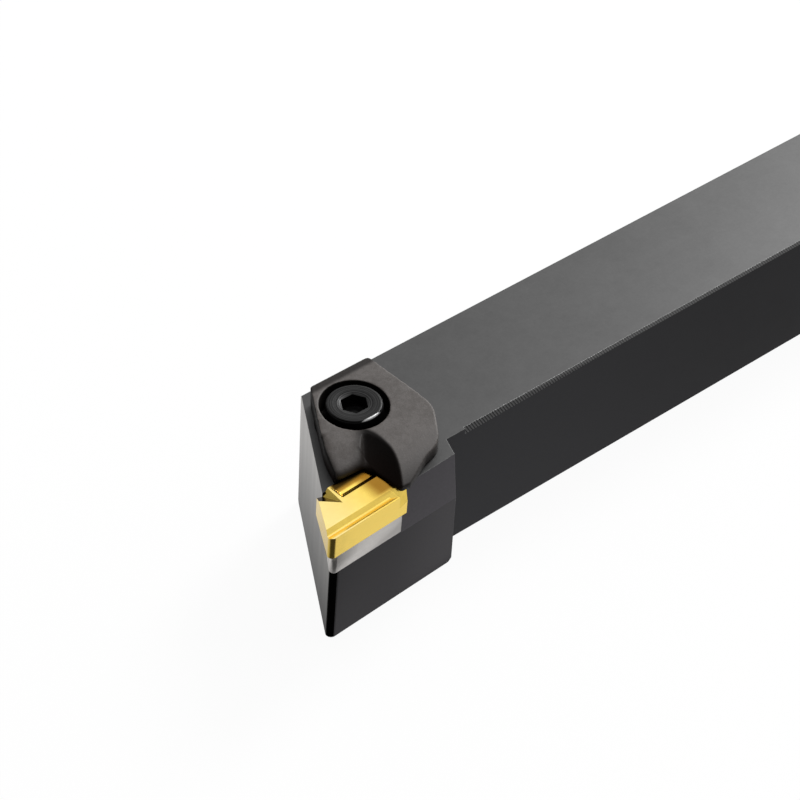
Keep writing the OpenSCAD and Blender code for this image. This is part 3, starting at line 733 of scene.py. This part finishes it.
print("stage: pins")
pinSet = {"tones": (grey(0.42), grey(0.58)), "rough": (0.2, 0.32)}
dress(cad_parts["shim_pin"], wire)
pinSteel, tree, shader, place, _ = newMaterial("groundPin", Metallic=1.0)
turned = useGroup(tree, toolMarks, Vector=place, Stretch=(150, 150, 3000))
give(tree, shader.inputs["Base Color"], blendColours(tree, turned["Value"], *pinSet["tones"]))
give(tree, shader.inputs["Roughness"], remap(tree, turned["Broad"], 0.3, 0.7, *pinSet["rough"]))
edges = useGroup(tree, softEdges, Vector=place, Radius=0.05 * mm, Scale=6000.0, Grain=0.1, Height=0.01 * mm)
give(tree, shader.inputs["Normal"], edges["Normal"])
dress(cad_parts["clamp_dowel"], pinSteel)

print("stage: floor, lights, camera")
# The floor reaches half a side in metres, and lies a gap in millimetres below the shank
floorSet = {"half": 3.0, "gap": 0.02, "glowShare": 0.95, "seenTone": grey(0.95), "otherTone": grey(0.3),
    "frontWay": (0.65, 0.75, 0), "frontFade": (110, 119), "endShadeFade": (-30, 16), "besideY": (15, 18),
    "besideX": (122, 117)}
half = floorSet["half"]
floorMesh = bpy.data.meshes.new("floor")
floorCorners = [(-half, -half, 0), (half, -half, 0), (half, half, 0), (-half, half, 0)]
floorMesh.from_pydata(floorCorners, [], [(0, 1, 2, 3)])
floor = addObject("floor", floorMesh)
floor.location = (0, 0, -shankHalf - floorSet["gap"] * mm)
floorLook = bpy.data.materials.new("floor")
floorLook.use_nodes = True
tree = floorLook.node_tree
tree.nodes.clear()
ray = addNode(tree, "ShaderNodeLightPath")
place = tree.nodes.new("ShaderNodeTexCoord").outputs["Object"]
axes = split(tree, place)
# Painted reflections: what metal shows of the floor glows, dark in front of the tip, and fading towards the
# foot of the end face
byFront = fade(tree, dot(tree, place, floorSet["frontWay"]), floorSet["frontFade"], 0.85, 0.05)
byEnd = fade(tree, axes["Y"], floorSet["endShadeFade"], 1.0, 0.3, smooth=False)
beside = largest(tree, fade(tree, axes["Y"], floorSet["besideY"]), fade(tree, axes["X"], floorSet["besideX"]))
mirrored = blendColours(tree, beside, byEnd, byFront)
seenColour = blendColours(tree, ray.outputs["Is Camera Ray"], mirrored, grey(1.0))
glow = addNode(tree, "ShaderNodeEmission", {"Color": seenColour, "Strength": 1.0})
shadeColour = blendColours(tree, ray.outputs["Is Camera Ray"], floorSet["otherTone"], floorSet["seenTone"])
shade = addNode(tree, "ShaderNodeBsdfDiffuse", {"Color": shadeColour})
glowing = calc(tree, "MULTIPLY_ADD", ray.outputs["Is Camera Ray"], floorSet["glowShare"],
    ray.outputs["Is Glossy Ray"])
mixed = addNode(tree, "ShaderNodeMixShader", {0: glowing, 1: shade.outputs[0], 2: glow.outputs[0]})
tree.links.new(mixed.outputs[0], tree.nodes.new("ShaderNodeOutputMaterial").inputs[0])
dress(floor, floorLook)

# Sky: a soft fill from the lamp's side, and its own shades for what metal shows of it
skySet = {"keySide": (-0.85, -0.3, 0.42), "fill": (0.06, 1.6), "mirrorSide": (-0.6, -0.7, 0.4),
    "shown": (0.25, 1.0), "frontSide": (0.04, 0.73, 0.68), "frontShown": 0.9}
world = bpy.data.worlds.new("studio")
scene.world = world
world.use_nodes = True
tree = world.node_tree
tree.nodes.clear()
ray = addNode(tree, "ShaderNodeLightPath")
direction = tree.nodes.new("ShaderNodeTexCoord").outputs["Generated"]


def towards(side):
    return dot(tree, direction, Vector(skySet[side]).normalized())


fill = remap(tree, towards("keySide"), 0.2, 0.95, *skySet["fill"])
shown = remap(tree, towards("mirrorSide"), -0.2, 0.75, *skySet["shown"])
shown = largest(tree, shown, remap(tree, towards("frontSide"), 0.93, 0.98, 0.0, skySet["frontShown"]))
strength = blendColours(tree, ray.outputs["Is Glossy Ray"], fill, shown)
strength = blendColours(tree, ray.outputs["Is Camera Ray"], strength, grey(1.0))
sky = addNode(tree, "ShaderNodeBackground", {"Color": strength, "Strength": 1.0})
tree.links.new(sky.outputs[0], tree.nodes.new("ShaderNodeOutputWorld").inputs[0])

# Lamp and camera are placed in metres
lampSet = {"towards": (-0.85, -0.2, 0.62), "aim": (0.125, 0, 0), "distance": 0.9, "size": 0.3, "power": 7.0}
lampData = bpy.data.lights.new("keyLamp", "AREA")
lampData.shape = "DISK"
lampData.size = lampSet["size"]
lampData.energy = lampSet["power"]
lamp = addObject("keyLamp", lampData)
way = Vector(lampSet["towards"]).normalized()
lamp.location = Vector(lampSet["aim"]) + way * lampSet["distance"]
lamp.rotation_mode = "QUATERNION"
lamp.rotation_quaternion = way.to_track_quat("Z", "Y")

cameraSet = {"lens": 114.75, "sensor": 36.0, "place": (0.3384, 0.25362, 0.30351), "clip": (0.02, 20.0),
    "right": (-0.7650043, 0.6438397, 0.0154571), "down": (0.412825, 0.5086537, -0.7555441),
    "ahead": (-0.4943116, -0.5716134, -0.6549154)}
cameraData = bpy.data.cameras.new("photoCamera")
camera = addObject("photoCamera", cameraData)
cameraData.sensor_width = cameraSet["sensor"]
cameraData.lens = cameraSet["lens"]
cameraData.clip_start, cameraData.clip_end = cameraSet["clip"]
right, down, ahead = (Vector(cameraSet[name]) for name in ("right", "down", "ahead"))
facingMatrix = Matrix((right, -down, -ahead)).transposed().to_4x4()
camera.matrix_world = Matrix.Translation(cameraSet["place"]) @ facingMatrix
scene.camera = camera
scene.view_settings.view_transform = "Standard"
